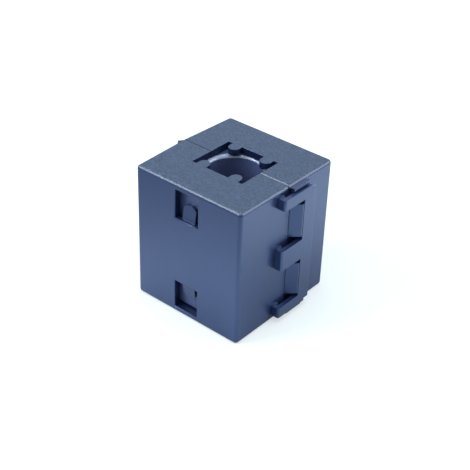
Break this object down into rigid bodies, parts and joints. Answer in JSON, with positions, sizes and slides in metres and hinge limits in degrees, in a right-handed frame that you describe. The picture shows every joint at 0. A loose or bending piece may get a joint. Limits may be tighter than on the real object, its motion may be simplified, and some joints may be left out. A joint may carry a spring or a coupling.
{
  "type": "clip-on ferrite bead",
  "caption": "Rectangular hinged clip-on ferrite case with a round cable bore, gripping fingers at both ends, spring tongue windows and a three-pronged latch flap.",
  "frame": {"origin": "on the cable axis at the bottom end face, which is also the centre of the bounding box in X and Y", "axes": "+Z along the cable axis, +X towards the latch side, -X the hinge side, -Y the swinging front half, +Y the rear half"},
  "size_m": [0.0342, 0.0318, 0.0342],
  "materials": {
    "case_plastic": "glossy moulded walls, finely textured satin end faces",
    "ferrite": "sintered dark grey ceramic with a smooth bore rim"
  },
  "bodies": {
    "rear": {"rear_shell": "case_plastic", "rear_core": "ferrite"},
    "front": {"front_shell": "case_plastic", "front_core": "ferrite"},
    "latch": {"latch_flap": "case_plastic"}
  },
  "joints": [
    {"name": "case_hinge", "type": "hinge", "parent": "rear", "child": "front", "pos_m": [-0.01685, 0, 0.0171], "axis": [0, 0, -1], "range_deg": [0, 180]},
    {"name": "latch_flex", "type": "hinge", "parent": "rear", "child": "latch", "pos_m": [0.0171, 0.0058, 0.0171], "axis": [0, 0, 1], "range_deg": [0, 8], "stiffness_Nm_per_rad": 0.3}
  ]
}
